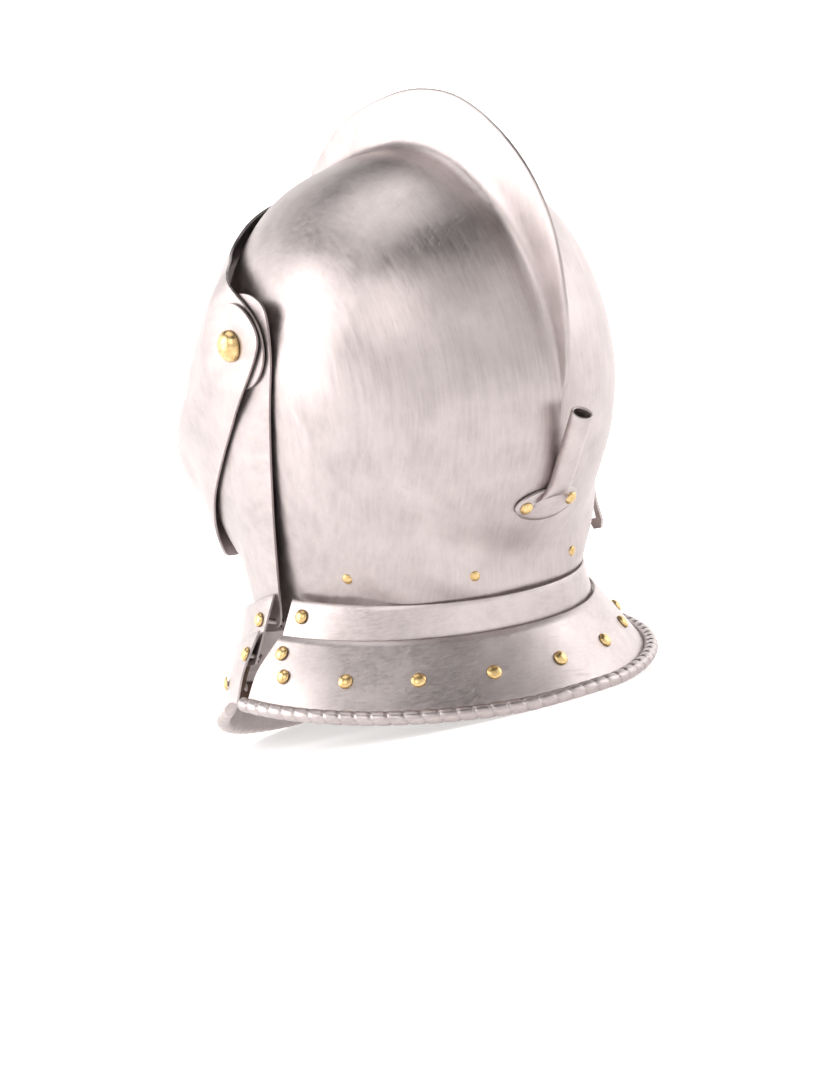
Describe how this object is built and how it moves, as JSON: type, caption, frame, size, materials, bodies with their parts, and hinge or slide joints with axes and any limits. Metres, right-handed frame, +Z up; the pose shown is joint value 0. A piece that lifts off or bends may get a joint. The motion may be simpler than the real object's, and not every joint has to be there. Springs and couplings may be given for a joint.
{
  "type": "knight helmet",
  "caption": "Close helmet with a tall comb, a pointed ventail and visor on side pivots, an opening bevor, articulated collar lames and a roped gorget rim.",
  "frame": {"origin": "centre of the bounding box in plan, on the floor the helmet stands on", "axes": "+Z up, -Y towards the front where the face looks, +Y to the nape, +X to the wearer's left"},
  "size_m": [0.248, 0.3421, 0.3277],
  "materials": {
    "steel": "satin, brushed by hand, with a faint warm tint",
    "brass": "polished",
    "leather": "matt, dark brown",
    "linen": "quilted natural linen"
  },
  "bodies": {
    "skull": {"skull": "steel", "plume_holder": "steel", "plume_rivet_left": "brass", "plume_rivet_right": "brass", "skull_rivet_1": "brass", "skull_rivet_2": "brass", "skull_rivet_3": "brass", "skull_rivet_4": "brass", "pivot_bolt_left": "brass", "pivot_bolt_right": "brass", "pivot_nut_left": "steel", "pivot_nut_right": "steel", "latch_rivet": "brass", "head_liner": "linen", "chin_strap": "leather", "chin_buckle": "brass"},
    "bevor": {"bevor": "steel", "latch_stud": "brass"},
    "visor": {"visor": "steel", "visor_lifting_peg": "brass"},
    "ventail": {"ventail": "steel"},
    "rear_collar": {"rear_collar_lame": "steel", "rear_collar_rivet_left": "brass", "rear_collar_rivet_right": "brass"},
    "rear_gorget": {"rear_gorget_plate": "steel", "rear_plate_rivet_left": "brass", "rear_plate_rivet_right": "brass", "rear_lining_band": "leather", "rear_rim_rivet_1": "brass", "rear_rim_rivet_2": "brass", "rear_rim_rivet_3": "brass", "rear_rim_rivet_4": "brass", "rear_rim_rivet_5": "brass", "rear_rim_rivet_6": "brass", "rear_rim_rivet_7": "brass", "rear_rim_rivet_8": "brass", "rear_rim_rivet_9": "brass"},
    "front_collar": {"front_collar_lame": "steel", "front_collar_rivet_left": "brass", "front_collar_rivet_right": "brass"},
    "front_gorget": {"front_gorget_plate": "steel", "front_plate_rivet_left": "brass", "front_plate_rivet_right": "brass", "front_lining_band": "leather", "front_rim_rivet_1": "brass", "front_rim_rivet_2": "brass", "front_rim_rivet_3": "brass", "front_rim_rivet_4": "brass", "front_rim_rivet_5": "brass", "front_rim_rivet_6": "brass", "front_rim_rivet_7": "brass"},
    "latch": {"latch_hook": "steel"}
  },
  "joints": [
    {"name": "bevor_pivot", "type": "hinge", "parent": "skull", "child": "bevor", "pos_m": [0, 0.01765, 0.2155], "axis": [-1, 0, 0], "range_deg": [0, 20]},
    {"name": "visor_pivot", "type": "hinge", "parent": "bevor", "child": "visor", "pos_m": [0, 0.01765, 0.2155], "axis": [-1, 0, 0], "range_deg": [0, 18]},
    {"name": "ventail_pivot", "type": "hinge", "parent": "bevor", "child": "ventail", "pos_m": [0, 0.01765, 0.2155], "axis": [-1, 0, 0], "range_deg": [0, 30]},
    {"name": "rear_collar_hinge", "type": "hinge", "parent": "skull", "child": "rear_collar", "pos_m": [0, 0.00865, 0.069], "axis": [-1, 0, 0], "range_deg": [0, 3]},
    {"name": "rear_gorget_hinge", "type": "hinge", "parent": "rear_collar", "child": "rear_gorget", "pos_m": [0, 0.00265, 0.0525], "axis": [-1, 0, 0], "range_deg": [0, 3]},
    {"name": "front_collar_hinge", "type": "hinge", "parent": "bevor", "child": "front_collar", "pos_m": [0, -0.02335, 0.071], "axis": [1, 0, 0], "range_deg": [0, 3]},
    {"name": "front_gorget_hinge", "type": "hinge", "parent": "front_collar", "child": "front_gorget", "pos_m": [0, -0.02985, 0.0545], "axis": [-1, 0, 0], "range_deg": [0, 3]},
    {"name": "latch_hinge", "type": "hinge", "parent": "skull", "child": "latch", "pos_m": [-0.095, 0.04165, 0.126], "axis": [-1, 0, 0], "range_deg": [0, 84]}
  ]
}
